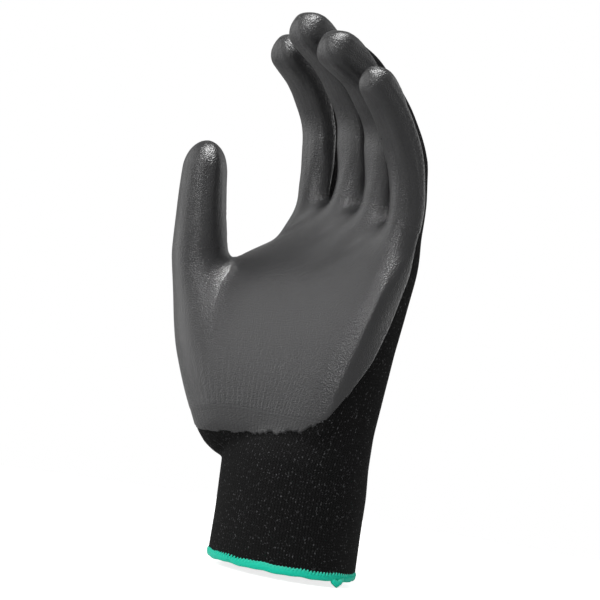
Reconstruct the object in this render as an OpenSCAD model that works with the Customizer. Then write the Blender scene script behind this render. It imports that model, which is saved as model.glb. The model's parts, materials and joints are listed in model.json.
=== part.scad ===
// Cut resistant work glove for the left hand: a seamless knitted liner, a rubber
// coating dipped over the palm, the thumb and the fingers, and an overlocked hem.
// The cuff opens downwards, the palm faces -Y and the thumb is on the -X side.
// Lengths in millimetres, origin at the centre of the cuff opening.

/* [Fabric] */
// Thickness of the knitted liner
liner_t = 1.3; // [0.8:0.1:2.5]
// Thickness of the first rubber dip on the palm
dip_t = 0.6; // [0.3:0.1:1.2]
// Thickness of the second rubber dip on the palm
top_dip_t = 0.5; // [0.3:0.1:1.2]
// Clearance between a rubber layer and what it lies on
layer_gap = 0.06; // [0.04:0.02:0.2]
// Clearance where two lengths of fabric meet end to end
seam_gap = 0.08; // [0.04:0.02:0.3]

/* [Cuff] */
// Breadth of the cuff at the hem
cuff_w = 69; // [58:0.5:84]
// Depth of the cuff at the hem
cuff_d = 53; // [42:0.5:66]
// Height of the narrowest part of the cuff
waist_z = 34; // [28:0.5:40]
// Breadth of the narrowest part of the cuff
waist_w = 68.5; // [56:0.5:78]
// Depth of the narrowest part of the cuff
waist_d = 52; // [40:0.5:60]
// Height where the bending wrist fabric starts
cuff_top = 26; // [20:0.5:30]
// Length of the bending wrist fabric
wrist_len = 20; // [14:0.5:24]
// Thickness of the overlocked hem
hem_d = 4.2; // [3.6:0.1:7]
// Clearance between the hem and the edge of the cuff inside it
hem_gap = 0.15; // [0.1:0.05:0.3]
// Length of the thread tail left at the hem
tail_len = 3; // [3:0.5:12]
// Thickness of the thread tail
tail_d = 2.2; // [1.6:0.1:3]
// Place of the thread tail round the hem from the little finger side, degrees
tail_at = 6; // [0:1:359]
// Rows of elastic yarn laid into the cuff
elastic_rows = 7; // [3:1:10]
// Thickness of the elastic yarn
elastic_d = 0.8; // [0.5:0.1:1.2]

/* [Palm] */
// Height of the heel of the hand
heel_z = 60; // [54:0.5:68]
// Breadth at the heel of the hand
heel_w = 72.5; // [66:0.5:86]
// Depth of the heel from the middle to the palm side
heel_front = 22; // [18:0.5:27]
// Depth of the heel from the middle to the back
heel_back = 19; // [17:0.5:26]
// Height of the middle of the palm
mid_z = 100; // [92:0.5:110]
// Breadth at the middle of the palm
mid_w = 77.5; // [70:0.5:90]
// Depth of the palm from the middle to the palm side
mid_front = 17; // [14:0.5:21]
// Depth of the palm from the middle to the back
mid_back = 14.5; // [13:0.5:20]
// Radius of the ridge along the palm below the little finger
ridge_r = 5; // [4:0.5:7]
// Height of the webs between the fingers
web_z = 149; // [142:0.5:158]
// Depth of the hand at the webs, to each side
web_half_d = 10.5; // [8.5:0.5:13]
// Backward lean of the hand above the wrist, degrees
lean = 6.3; // [2:0.1:10]
// Height where the rubber edge crosses the palm at the wrist
dip_edge_z = 52; // [50:0.5:60]
// Height of the edge of the second dip
top_dip_edge_z = 62; // [60:0.5:74]

/* [Fingers] */
// Clearance between the rubber of neighbouring fingers
finger_gap = 0.5; // [0.4:0.1:3]
// Thickness of a fingertip as a share of the root of the finger
tip_share = 0.81; // [0.7:0.01:0.9]
// Bend of the last knuckle as a share of the bend of the middle knuckle
tip_bend_share = 0.64; // [0.4:0.02:0.9]
// Length of the root bone as a share of the finger
root_share = 0.41; // [0.36:0.01:0.44]
// Length of the middle bone as a share of the finger
mid_share = 0.35; // [0.32:0.01:0.37]
// Half length of the bending fabric at the root of a finger
root_half = 8; // [6:0.25:9]
// Half length of the bending fabric at the middle knuckle
mid_half = 8.5; // [6:0.25:9.5]
// Half length of the bending fabric at the last knuckle
tip_half = 6.5; // [5:0.25:7.5]
// Length of the finger stump knitted onto the palm above the web
stump = 3; // [2:0.25:5]
// Angle of rubber around a finger, degrees
finger_wrap = 205; // [160:5:240]
// Width of the index finger
index_w = 18.8; // [16:0.1:23]
// Length of the index finger from its root hinge to the middle of its tip
index_len = 59.5; // [52:0.5:70]
// Angle of the root of the index finger towards the palm, degrees
index_set = 2; // [1:0.5:16]
// Bend of the middle knuckle of the index finger, degrees
index_curl = 31.5; // [10:0.5:40]
// Width of the middle finger
middle_w = 19.4; // [16:0.1:23]
// Length of the middle finger from its root hinge to the middle of its tip
middle_len = 72.5; // [64:0.5:84]
// Angle of the root of the middle finger towards the palm, degrees
middle_set = 6; // [1:0.5:16]
// Bend of the middle knuckle of the middle finger, degrees
middle_curl = 32; // [10:0.5:40]
// Width of the ring finger
ring_w = 18.8; // [16:0.1:22]
// Length of the ring finger from its root hinge to the middle of its tip
ring_len = 70.5; // [62:0.5:80]
// Angle of the root of the ring finger towards the palm, degrees
ring_set = 7; // [1:0.5:16]
// Bend of the middle knuckle of the ring finger, degrees
ring_curl = 35; // [10:0.5:40]
// Drop of the web beside the ring finger
ring_drop = 2; // [0:0.25:4]
// Width of the little finger
little_w = 17.4; // [14:0.1:20]
// Length of the little finger from its root hinge to the middle of its tip
little_len = 57; // [50:0.5:64]
// Angle of the root of the little finger towards the palm, degrees
little_set = 14.5; // [1:0.5:18]
// Bend of the middle knuckle of the little finger, degrees
little_curl = 20; // [10:0.5:36]
// Drop of the web beside the little finger
little_drop = 8; // [5:0.25:11]

/* [Thumb] */
// Width of the thumb
thumb_w = 22; // [19:0.1:24]
// Clearance between the thumb and the index finger as they bend past each other
thumb_gap = 0.6; // [0.4:0.1:5]
// Reach of the thumb forward of the cuff middle
thumb_front = 25.5; // [22:0.5:34]
// Height where the thumb stall leaves the palm
thumb_z = 123; // [118:0.5:130]
// Length of the thumb from its root hinge to its middle knuckle
thumb_root = 17; // [15:0.25:22]
// Length of the thumb from its middle knuckle to the middle of its tip
thumb_tip = 13; // [12:0.25:20]
// Lean of the thumb away from the palm where it leaves the hand, degrees
thumb_lean = 7; // [0:0.5:15]
// Bend of each thumb knuckle, degrees
thumb_bend = 4; // [1:0.5:15]
// Half length of the bending fabric at the thumb knuckles
thumb_half = 6.5; // [5:0.25:7]
// Angle of rubber around the thumb, degrees
thumb_wrap = 260; // [200:5:300]
// Radius of the ball of the thumb at the wrist
thenar_r = 20.5; // [16:0.5:22]
// Drop of the web between the thumb and the index finger
crotch_drop = 0.5; // [0:0.5:8]

/* [Hidden] */
$fn = 48;
knit_black = "#1d1d1f";
rib_black = "#18181a";
dip_grey = "#4a4a4c";
top_dip_grey = "#565658";
hem_teal = "#12b294";
elastic_white = "#d8d8d4";
fingers = ["index", "middle", "ring", "little"];
stall_parts = ["root_knuckle", "root_stall", "root_dip", "mid_knuckle", "mid_stall", "mid_dip",
    "tip_knuckle", "tip_stall", "tip_dip"];
thumb_parts = ["root_knuckle", "root_stall", "root_dip", "tip_knuckle", "tip_stall", "tip_dip"];

// Rows of values for the four fingers
root_r = [index_w, middle_w, ring_w, little_w] / 2;
f_len = [index_len, middle_len, ring_len, little_len];
f_set = [index_set, middle_set, ring_set, little_set];
f_curl = [index_curl, middle_curl, ring_curl, little_curl];
f_drop = [0, 0, ring_drop, little_drop];
finger_dip_t = dip_t + layer_gap + top_dip_t;
coat_t = layer_gap + finger_dip_t;
stall_gap = finger_gap + 2 * coat_t;
row_w = 2 * (root_r[0] + root_r[1] + root_r[2] + root_r[3]) + 3 * stall_gap;
function row_x(i) = i == 0 ? root_r[0] - row_w / 2 : row_x(i - 1) + root_r[i - 1] + root_r[i] + stall_gap;
f_x = [for (i = [0:3]) row_x(i)];
palm_bottom = cuff_top + wrist_len;
far = 400;

// Outline of the cuff and the palm by height
ring_n = 40;
lean_z = 45;
function level(z, table) = (lookup(z - 7, table) + 2 * lookup(z, table) + lookup(z + 7, table)) / 4;
function half_w(z) = level(z, [[0, cuff_w / 2], [waist_z, waist_w / 2], [heel_z, heel_w / 2],
    [mid_z, mid_w / 2], [web_z, row_w / 2]]);
function front(z) = level(z, [[0, cuff_d / 2], [waist_z, waist_d / 2], [heel_z, heel_front],
    [mid_z, mid_front], [web_z, web_half_d]]);
function back(z) = level(z, [[0, cuff_d / 2], [waist_z, waist_d / 2], [heel_z, heel_back],
    [mid_z, mid_back], [web_z, web_half_d]]);
function middle_y(z) = max(0, z - lean_z) * tan(lean);
function corner(z) = 2 / lookup(z, [[waist_z, 2.1], [mid_z, 2.6]]);
function drop_at(x) = lookup(x, [[f_x[1], f_drop[1]], [f_x[2], f_drop[2]], [f_x[3], f_drop[3]]]);
function sink(x, z) = drop_at(x) * lookup(z, [[mid_z, 0], [web_z, 1]]);
function super(c, e) = sign(c) * pow(abs(c), e);
function ring_point(z, g, t) =
    let (x = (half_w(z) + g) * super(cos(t), corner(z)), d = (sin(t) < 0 ? front(z) : back(z)) + g)
    [x, middle_y(z) + d * super(sin(t), corner(z)), z - sink(x, z)];
function ring(z, g) = [for (k = [0:ring_n - 1]) ring_point(z, g, 360 * k / ring_n)];
function loft_z(lo, hi) = concat([lo], [for (k = [1:13]) lo + (hi - lo) * k / 14], [hi]);

// Points along the middle of a finger
function heading(a) = [0, -sin(a), cos(a)];
function on_palm(x, z) = [x, middle_y(z), z];
function stump_end(i) = on_palm(f_x[i], web_z - f_drop[i] + stump);
function root_bone(i) = f_len[i] * root_share;
function mid_bone(i) = f_len[i] * mid_share;
function tip_bone(i) = f_len[i] - root_bone(i) - mid_bone(i);
function root_c(i) = min(root_half, 0.42 * root_bone(i));
function mid_c(i) = min(mid_half, 0.42 * mid_bone(i));
function tip_c(i) = min(tip_half, 0.36 * mid_bone(i));
function root_a(i) = f_set[i];
function mid_a(i) = f_set[i] + f_curl[i];
function tip_a(i) = mid_a(i) + f_curl[i] * tip_bend_share;
function root_joint(i) = stump_end(i) + root_c(i) * heading(-lean);
function mid_joint(i) = root_joint(i) + root_bone(i) * heading(root_a(i));
function tip_joint(i) = mid_joint(i) + mid_bone(i) * heading(mid_a(i));
function tip_centre(i) = tip_joint(i) + tip_bone(i) * heading(tip_a(i));
function mid_r(i) = root_r[i] * (2 + tip_share) / 3;
function last_r(i) = root_r[i] * (1 + 2 * tip_share) / 3;
function end_r(i) = root_r[i] * tip_share;

// Points along the middle of the thumb
thumb_r = thumb_w / 2;
thumb_side = row_w / 2 + thumb_r + 2 * coat_t + thumb_gap;
thumb_end_r = thumb_r * tip_share;
thumb_mid_r = (thumb_r + thumb_end_r) / 2;
thumb_stump = [-thumb_side, -thumb_front, thumb_z];
thumb_root_a = thumb_lean - thumb_bend;
thumb_tip_a = thumb_root_a - thumb_bend;
thumb_root_joint = thumb_stump + thumb_half * heading(thumb_lean);
thumb_tip_joint = thumb_root_joint + thumb_root * heading(thumb_root_a);
thumb_centre = thumb_tip_joint + thumb_tip * heading(thumb_tip_a);
thenar_low = [thenar_r - waist_w * 0.7, -10, heel_z];
thenar_high = thumb_stump + [4.5, 4.5, -1.55 * thumb_r];
thenar_bulge = [-2, -1, 0];
function thenar(t) = (1 - t) * thenar_low + t * thenar_high + sin(180 * t) * thenar_bulge;
function thenar_rad(t) = thenar_r * (1 - t) + 1.22 * thumb_r * t + sin(180 * t);
crotch_r = 9;
crotch_a = thenar(0.9);
crotch_c = on_palm(f_x[0] - 2, web_z - 24) - [0, 4, 0];
crotch_b = (crotch_a + crotch_c) / 2 - [1, 0, crotch_drop];
crotch_low = on_palm(f_x[0] + 4, mid_z - 8) - [0, 4, 0];

// Points behind the flat of the palm, beside the ball of the thumb
face_in = [12, 10, 0];
face_slim = 1.3;
function face_share(t) = max(0, t - 0.3) / 0.7;
function face(t) = thenar(t) + face_share(t) * face_in;
function face_rad(t) = thenar_rad(t) - face_share(t) * face_slim;
face_top = crotch_c + [6.3, -4.9, 0];

// Points along the ridge of the palm below the little finger
function ridge(z) = [half_w(z) - lookup(z, [[heel_z, 9.3], [mid_z, 3.6]]),
    middle_y(z) - front(z) + ridge_r + lookup(z, [[heel_z, 2], [heel_z + 15, 0.3], [mid_z, 0], [web_z - 21, 2]]), z];

flank_r = 8;
function flank(z) = [half_w(z) - flank_r, middle_y(z) + 1, z];

// Edge of the rubber seen from the side, as [height, depth] pairs
edge_lift = 24;
edge_in = 1.7;
function dip_y(z) = level(z, [[dip_edge_z, -heel_front - 3],
    [dip_edge_z + edge_lift / 2, -heel_front * 0.62], [dip_edge_z + edge_lift * 1.6, 0],
    [web_z - 24, middle_y(web_z - 24) - edge_in], [web_z + 20, middle_y(web_z + 20) - edge_in]]);

// A closed body through rings of points
module loft(rings) {
    n = len(rings[0]);
    last = len(rings) - 1;
    half = n / 2;
    sides = [for (j = [0:last - 1]) for (k = [0:n - 1]) each [
        [j * n + k, (j + 1) * n + k, j * n + (k + 1) % n],
        [j * n + (k + 1) % n, (j + 1) * n + k, (j + 1) * n + (k + 1) % n]]];
    low = [for (k = [0:half - 1]) k == 0 ? [0, 1, n - 1]
        : k == half - 1 ? [k, k + 1, n - k] : [k, k + 1, n - k - 1, n - k]];
    high = [for (f = low) [for (v = [len(f) - 1:-1:0]) last * n + f[v]]];
    polyhedron([for (r = rings) each r], concat(low, sides, high));
}

// A closed hoop: one outline of [outward, up] pairs carried round a closed path
module hoop(outline, path) {
    m = len(outline);
    n = len(path);
    points = [for (k = [0:n - 1])
        let (run = path[(k + 1) % n] - path[(k + n - 1) % n], out = [run[1], -run[0], 0] / norm(run))
        for (p = outline) path[k] + p[0] * out + [0, 0, p[1]]];
    faces = [for (k = [0:n - 1]) for (j = [0:m - 1])
        let (kk = (k + 1) % n, jj = (j + 1) % m)
        each [[k * m + j, k * m + jj, kk * m + j], [k * m + jj, kk * m + jj, kk * m + j]]];
    polyhedron(points, faces);
}

// The end of a stump: a disc to blend into the hand, and the round length that is cut there
module stump_disc(end, a, r) {
    translate(end) rotate([a, 0, 0]) translate([0, 0, -1]) cylinder(1, r = r, $fn = 40);
}
module stump_mouth(end, a, r) {
    translate(end) rotate([a, 0, 0]) translate([0, 0, -0.6]) cylinder(4, r = r + 0.05, $fn = 40);
}

// The space past the end of a stump
module stump_cut(end, a, r) {
    translate(end) rotate([a, 0, 0]) cylinder(8, r = r);
}
module stump_cuts() {
    for (i = [0:3]) {
        stump_cut(stump_end(i), -lean, root_r[i] + coat_t + finger_gap / 2);
    }
    stump_cut(thumb_stump, thumb_lean, thumb_r + 2 * coat_t);
}

// The whole hand without its stalls, grown outwards by g and carried a little past the stumps
module hand_form(g) {
    loft([for (z = loft_z(-8, web_z + g)) ring(z, g)]);
    for (i = [0:3]) {
        hull() {
            translate(on_palm(f_x[i], web_z - f_drop[i] - 14)) sphere(root_r[i] + g, $fn = 20);
            stump_disc(stump_end(i), -lean, root_r[i] + g);
        }
        stump_mouth(stump_end(i), -lean, root_r[i] + g);
    }
    for (k = [0:3]) {
        hull() {
            translate(thenar(k / 4)) sphere(thenar_rad(k / 4) + g, $fn = 24);
            translate(thenar((k + 1) / 4)) sphere(thenar_rad((k + 1) / 4) + g, $fn = 24);
        }
        hull() {
            translate(face(k / 4)) sphere(face_rad(k / 4) + g, $fn = 24);
            translate(face((k + 1) / 4)) sphere(face_rad((k + 1) / 4) + g, $fn = 24);
            translate(ridge(thenar(k / 4)[2])) sphere(ridge_r + g, $fn = 20);
            translate(ridge(thenar((k + 1) / 4)[2])) sphere(ridge_r + g, $fn = 20);
            translate(flank(thenar(k / 4)[2])) sphere(flank_r + g, $fn = 20);
            translate(flank(thenar((k + 1) / 4)[2])) sphere(flank_r + g, $fn = 20);
        }
    }
    hull() {
        translate(face(1)) sphere(face_rad(1) + g, $fn = 24);
        translate(face_top) sphere(crotch_r + g, $fn = 20);
        translate(ridge(thenar(1)[2])) sphere(ridge_r + g, $fn = 20);
        translate(ridge(crotch_c[2] + 3)) sphere(ridge_r + g, $fn = 20);
        translate(flank(thenar(1)[2])) sphere(flank_r + g, $fn = 20);
        translate(flank(crotch_c[2] + 3)) sphere(flank_r + g, $fn = 20);
    }
    hull() {
        translate(thenar(1)) sphere(thenar_rad(1) + g, $fn = 24);
        stump_disc(thumb_stump, thumb_lean, thumb_r + g);
    }
    stump_mouth(thumb_stump, thumb_lean, thumb_r + g);
    hull() {
        translate(crotch_a) sphere(crotch_r + g, $fn = 20);
        translate(crotch_b) sphere(crotch_r + g, $fn = 20);
        translate(crotch_low) sphere(crotch_r + g, $fn = 20);
    }
    hull() {
        translate(crotch_b) sphere(crotch_r + g, $fn = 20);
        translate(crotch_c) sphere(crotch_r + g, $fn = 20);
        translate(crotch_low) sphere(crotch_r + g, $fn = 20);
    }
}

// The knitted wall of the hand between two heights
module hand_wall(lo, hi) {
    difference() {
        intersection() {
            hand_form(0);
            translate([-far / 2, -far / 2, lo]) cube([far, far, hi - lo]);
        }
        hand_form(-liner_t);
        stump_cuts();
    }
}

// The space the rubber covers, from a height upwards
module dip_space(lo, shrink) {
    steps = [for (k = [0:24]) lo + (web_z + 20 - lo) * k / 24];
    rotate([90, 0, 90]) translate([0, 0, -far / 2]) linear_extrude(far)
        polygon(concat([[-far, lo], [-far, web_z + 20]],
            [for (k = [24:-1:0]) [dip_y(steps[k]) - shrink, steps[k]]]));
}

// A rubber layer on the palm
module palm_layer(inner, thick, lo, shrink) {
    difference() {
        intersection() {
            hand_form(inner + thick);
            dip_space(lo, shrink);
        }
        hand_form(inner);
        stump_cuts();
    }
}

// Places children at a point with up along the finger, turned about the upright first
module along(point, a, turn) {
    translate(point) rotate([a, 0, 0]) rotate([0, 0, turn]) children();
}

// A bent length of tube, from inner radius to outer radius, over an arc of wrap degrees
module bend_tube(outer, inner, rho, c, wrap, side) {
    reach = c / tan(rho / 2);
    arc = [for (k = [0:24]) let (t = side - wrap / 2 + wrap * k / 24) 3 * outer * [cos(t), sin(t)]];
    translate([0, -reach, 0]) multmatrix([[0, 0, 1, 0], [1, 0, 0, 0], [0, 1, 0, 0], [0, 0, 0, 1]])
        rotate_extrude(angle = rho, $fn = 180) translate([reach, 0]) difference() {
            intersection() {
                circle(outer);
                if (wrap < 360) polygon(concat([[0, 0]], arc));
            }
            circle(inner);
        }
}

// A straight tapered length of tube, over an arc of wrap degrees centred on a side
module taper_tube(outer_a, outer_b, thick, length, wrap, side) {
    rotate([0, 0, side - wrap / 2]) rotate_extrude(angle = wrap)
        polygon([[outer_a - thick, 0], [outer_a, 0], [outer_b, length], [outer_b - thick, length]]);
}

// A closed fingertip
function dome(r, z) = [for (k = [0:10]) [max(0, r * cos(9 * k)), z + r * sin(9 * k)]];
module tip_tube(outer_a, outer_b, thick, length) {
    inner = dome(outer_b - thick, length);
    rotate_extrude() polygon(concat([[outer_a, 0]], dome(outer_b, length),
        [for (k = [10:-1:0]) inner[k]], [[outer_a - thick, 0]]));
}

// Fabric and rubber of one knuckle
module knuckle(joint, a_in, rho, c, r, turn) {
    color(knit_black) along(joint - c * heading(a_in), a_in, turn) bend_tube(r, r - liner_t, rho, c, 360, 180);
}

// Rubber over one knuckle and the straight length after it
module knuckle_dip(joint, a_in, rho, c, r, r_after, length, wrap, turn, side) {
    inner = r + layer_gap;
    a_out = a_in + (turn == 0 ? rho : -rho);
    along(joint - c * heading(a_in), a_in, turn) bend_tube(inner + finger_dip_t, inner, rho, c, wrap, side);
    along(joint + (c + seam_gap) * heading(a_out), a_out, turn)
        taper_tube(inner + finger_dip_t, r_after + layer_gap + finger_dip_t, finger_dip_t, length - seam_gap,
            wrap, side + 90);
}

module cuff_rib() {
    color(rib_black) hand_wall(hem_d / 2, cuff_top - seam_gap);
}

module wrist_rib() {
    color(rib_black) hand_wall(cuff_top, palm_bottom);
}

module hem_binding() {
    slot = liner_t / 2 + hem_gap;
    r = hem_d / 2;
    rise = asin(min(0.9, slot / r));
    roll = [for (k = [0:9]) let (t = 90 + rise + (360 - 2 * rise) * k / 9) r * [cos(t), sin(t)]];
    color(hem_teal) hoop(concat(roll, [[slot, -hem_gap], [-slot, -hem_gap]]), ring(r, -liner_t / 2));
}

module hem_tail() {
    root = ring_point(hem_d / 2, -liner_t / 2, tail_at);
    color(hem_teal) translate([root[0], root[1], -layer_gap]) rotate([0, 180, 0]) {
        cylinder(tail_len - tail_d / 2, r1 = tail_d * 0.35, r2 = tail_d / 2);
        translate([0, 0, tail_len - tail_d / 2]) sphere(tail_d / 2);
    }
}

module cuff_elastic() {
    r = elastic_d / 2;
    yarn = [for (k = [0:3]) r * [cos(-90 * k), sin(-90 * k)]];
    low = hem_d + 2;
    pitch = (cuff_top - low - 2) / (elastic_rows - 1);
    color(elastic_white) for (k = [0:elastic_rows - 1]) {
        hoop(yarn, ring(low + k * pitch, -liner_t - 2 * layer_gap - r));
    }
}

module palm_liner() {
    color(knit_black) hand_wall(palm_bottom + seam_gap, far);
}

module palm_dip() {
    color(dip_grey) palm_layer(layer_gap, dip_t, dip_edge_z, 0);
}

module palm_top_dip() {
    color(top_dip_grey) palm_layer(2 * layer_gap + dip_t, top_dip_t, top_dip_edge_z, 1.5);
}

module finger_root_knuckle(i) {
    knuckle(root_joint(i), -lean, root_a(i) + lean, root_c(i), root_r[i], 0);
}

module finger_root_stall(i) {
    length = root_bone(i) - root_c(i) - mid_c(i) - 2 * seam_gap;
    color(knit_black) along(root_joint(i) + (root_c(i) + seam_gap) * heading(root_a(i)), root_a(i), 0)
        taper_tube(root_r[i], mid_r(i), liner_t, length, 360, 0);
}

module finger_root_dip(i) {
    length = root_bone(i) - root_c(i) - mid_c(i) - 3 * seam_gap;
    color(dip_grey) knuckle_dip(root_joint(i) + seam_gap * heading(-lean), -lean, root_a(i) + lean, root_c(i),
        root_r[i], mid_r(i), length, finger_wrap, 0, 180);
}

module finger_mid_knuckle(i) {
    knuckle(mid_joint(i), root_a(i), f_curl[i], mid_c(i), mid_r(i), 0);
}

module finger_mid_stall(i) {
    length = mid_bone(i) - mid_c(i) - tip_c(i) - 2 * seam_gap;
    color(knit_black) along(mid_joint(i) + (mid_c(i) + seam_gap) * heading(mid_a(i)), mid_a(i), 0)
        taper_tube(mid_r(i), last_r(i), liner_t, length, 360, 0);
}

module finger_mid_dip(i) {
    color(dip_grey) knuckle_dip(mid_joint(i), root_a(i), f_curl[i], mid_c(i), mid_r(i), last_r(i),
        mid_bone(i) - mid_c(i) - tip_c(i) - 2 * seam_gap, finger_wrap, 0, 180);
}

module finger_tip_knuckle(i) {
    knuckle(tip_joint(i), mid_a(i), f_curl[i] * tip_bend_share, tip_c(i), last_r(i), 0);
}

module finger_tip_stall(i) {
    color(knit_black) along(tip_joint(i) + (tip_c(i) + seam_gap) * heading(tip_a(i)), tip_a(i), 0)
        tip_tube(last_r(i), end_r(i), liner_t, tip_bone(i) - tip_c(i) - seam_gap);
}

module finger_tip_dip(i) {
    rho = f_curl[i] * tip_bend_share;
    inner = last_r(i) + layer_gap;
    color(dip_grey) {
        along(tip_joint(i) - tip_c(i) * heading(mid_a(i)), mid_a(i), 0)
            bend_tube(inner + finger_dip_t, inner, rho, tip_c(i), finger_wrap, 180);
        along(tip_joint(i) + (tip_c(i) + seam_gap) * heading(tip_a(i)), tip_a(i), 0)
            tip_tube(inner + finger_dip_t, end_r(i) + layer_gap + finger_dip_t, finger_dip_t,
                tip_bone(i) - tip_c(i) - seam_gap);
    }
}

module thumb_root_knuckle() {
    knuckle(thumb_root_joint, thumb_lean, thumb_bend, thumb_half, thumb_r, 180);
}

module thumb_root_stall() {
    color(knit_black) along(thumb_root_joint + (thumb_half + seam_gap) * heading(thumb_root_a), thumb_root_a, 0)
        taper_tube(thumb_r, thumb_mid_r, liner_t, thumb_root - 2 * thumb_half - 2 * seam_gap, 360, 0);
}

module thumb_root_dip() {
    length = thumb_root - 2 * thumb_half - 3 * seam_gap;
    color(dip_grey) knuckle_dip(thumb_root_joint + seam_gap * heading(thumb_lean), thumb_lean, thumb_bend,
        thumb_half, thumb_r, thumb_mid_r, length, thumb_wrap, 180, 0);
}

module thumb_tip_knuckle() {
    knuckle(thumb_tip_joint, thumb_root_a, thumb_bend, thumb_half, thumb_mid_r, 180);
}

module thumb_tip_stall() {
    color(knit_black) along(thumb_tip_joint + (thumb_half + seam_gap) * heading(thumb_tip_a), thumb_tip_a, 0)
        tip_tube(thumb_mid_r, thumb_end_r, liner_t, thumb_tip - thumb_half - seam_gap);
}

module thumb_tip_dip() {
    inner = thumb_mid_r + layer_gap;
    color(dip_grey) {
        along(thumb_tip_joint - thumb_half * heading(thumb_root_a), thumb_root_a, 180)
            bend_tube(inner + finger_dip_t, inner, thumb_bend, thumb_half, thumb_wrap, 0);
        along(thumb_tip_joint + (thumb_half + seam_gap) * heading(thumb_tip_a), thumb_tip_a, 0)
            tip_tube(inner + finger_dip_t, thumb_end_r + layer_gap + finger_dip_t, finger_dip_t,
                thumb_tip - thumb_half - seam_gap);
    }
}

cuff_rib();
wrist_rib();
hem_binding();
hem_tail();
cuff_elastic();
palm_liner();
palm_dip();
palm_top_dip();
for (i = [0:3]) {
    finger_root_knuckle(i);
    finger_root_stall(i);
    finger_root_dip(i);
    finger_mid_knuckle(i);
    finger_mid_stall(i);
    finger_mid_dip(i);
    finger_tip_knuckle(i);
    finger_tip_stall(i);
    finger_tip_dip(i);
}
thumb_root_knuckle();
thumb_root_stall();
thumb_root_dip();
thumb_tip_knuckle();
thumb_tip_stall();
thumb_tip_dip();
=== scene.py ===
"""Looks of a dipped work glove: knitted liner, rubber coats, overlocked hem, floor and light."""

import json
import logging
import math
from dataclasses import dataclass, field
from enum import Enum

import bmesh
import bpy
import numpy as np
from mathutils import Matrix, Vector


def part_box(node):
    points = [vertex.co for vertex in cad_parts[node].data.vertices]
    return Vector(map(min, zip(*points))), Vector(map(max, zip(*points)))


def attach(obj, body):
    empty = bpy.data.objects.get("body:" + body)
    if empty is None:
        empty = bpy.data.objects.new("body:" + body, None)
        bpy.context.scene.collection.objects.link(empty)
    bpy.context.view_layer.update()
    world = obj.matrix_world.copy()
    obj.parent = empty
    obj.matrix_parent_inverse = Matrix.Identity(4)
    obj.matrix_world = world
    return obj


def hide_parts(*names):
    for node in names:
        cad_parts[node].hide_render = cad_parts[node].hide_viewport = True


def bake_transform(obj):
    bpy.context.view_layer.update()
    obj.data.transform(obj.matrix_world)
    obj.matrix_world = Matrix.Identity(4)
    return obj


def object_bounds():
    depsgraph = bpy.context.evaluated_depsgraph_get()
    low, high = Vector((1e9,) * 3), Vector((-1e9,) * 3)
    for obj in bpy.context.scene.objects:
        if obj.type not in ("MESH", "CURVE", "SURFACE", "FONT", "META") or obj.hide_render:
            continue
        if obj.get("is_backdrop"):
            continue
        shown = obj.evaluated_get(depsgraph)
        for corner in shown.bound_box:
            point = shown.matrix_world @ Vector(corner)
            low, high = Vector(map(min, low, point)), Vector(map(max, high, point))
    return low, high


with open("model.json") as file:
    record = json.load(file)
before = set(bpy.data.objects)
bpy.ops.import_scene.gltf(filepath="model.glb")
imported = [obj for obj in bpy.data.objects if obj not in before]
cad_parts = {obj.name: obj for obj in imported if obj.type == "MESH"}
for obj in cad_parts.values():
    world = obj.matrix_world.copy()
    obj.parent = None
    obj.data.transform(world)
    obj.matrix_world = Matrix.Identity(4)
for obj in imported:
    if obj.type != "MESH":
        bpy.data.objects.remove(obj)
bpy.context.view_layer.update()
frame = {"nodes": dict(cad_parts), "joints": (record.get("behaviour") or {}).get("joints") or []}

LOG = logging.getLogger("glove")
MM = 0.001
TAU = 2 * math.pi
JOINTS = {joint["name"]: joint for joint in frame["joints"]}
# A Mix node that mixes colours, and where its mixed colour comes out.
RGBA = {"data_type": "RGBA", "out": 2}


class Digit(Enum):
    """The five stalls of the glove, in order from the little finger's side inwards."""

    LITTLE = "little"
    RING = "ring"
    MIDDLE = "middle"
    INDEX = "index"
    THUMB = "thumb"


class Layer(Enum):
    """The two layers that the hand is built up in."""

    LINER = "liner"
    COAT = "coat"


def linear(colour: str) -> tuple[float, float, float, float]:
    """Turns an sRGB hex colour into linear values.

    Args:
        colour: Six hex digits after a hash sign.
    Returns:
        Red, green, blue and alpha, linear.
    """
    parts = [int(colour[k:k + 2], 16) / 255 for k in (1, 3, 5)]
    red, green, blue = (p / 12.92 if p <= 0.04045 else ((p + 0.055) / 1.055) ** 2.4 for p in parts)
    return red, green, blue, 1.0


def plug(node: bpy.types.Node, links: dict) -> None:
    """Fills a node's sockets.

    Args:
        node: The node.
        links: Sockets, by name or number, with the socket or the value that each takes.
    """
    for socket, value in links.items():
        if isinstance(value, bpy.types.NodeSocket):
            node.id_data.links.new(value, node.inputs[socket])
        else:
            node.inputs[socket].default_value = value


def add(
    tree: bpy.types.NodeTree, kind: str, links: dict | None = None, out: int | str = 0, **settings: object,
) -> bpy.types.NodeSocket:
    """Adds one shader node.

    Args:
        tree: The material's node tree.
        kind: The node's type, without its prefix.
        links: Sockets, by name or number, with the socket or the value that each takes.
        out: The output that is wanted, by name or number.
        settings: The node's own properties.
    Returns:
        That output.
    """
    node = tree.nodes.new("ShaderNode" + kind)
    for name, value in settings.items():
        setattr(node, name, value)
    plug(node, links or {})
    return node.outputs[out]


def blank(name: str) -> tuple[bpy.types.Material, bpy.types.NodeTree, bpy.types.Node]:
    """Starts a material.

    Args:
        name: What it is.
    Returns:
        The material, its node tree and its shader.
    """
    material = bpy.data.materials.new(name)
    material.use_nodes = True
    return material, material.node_tree, material.node_tree.nodes["Principled BSDF"]


def smoothstep(low: float, high: float, value: np.ndarray) -> np.ndarray:
    """Rises smoothly from 0 at low to 1 at high, or falls where high is the lower one."""
    t = np.clip((value - low) / (high - low), 0, 1)
    return t * t * (3 - 2 * t)


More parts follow.
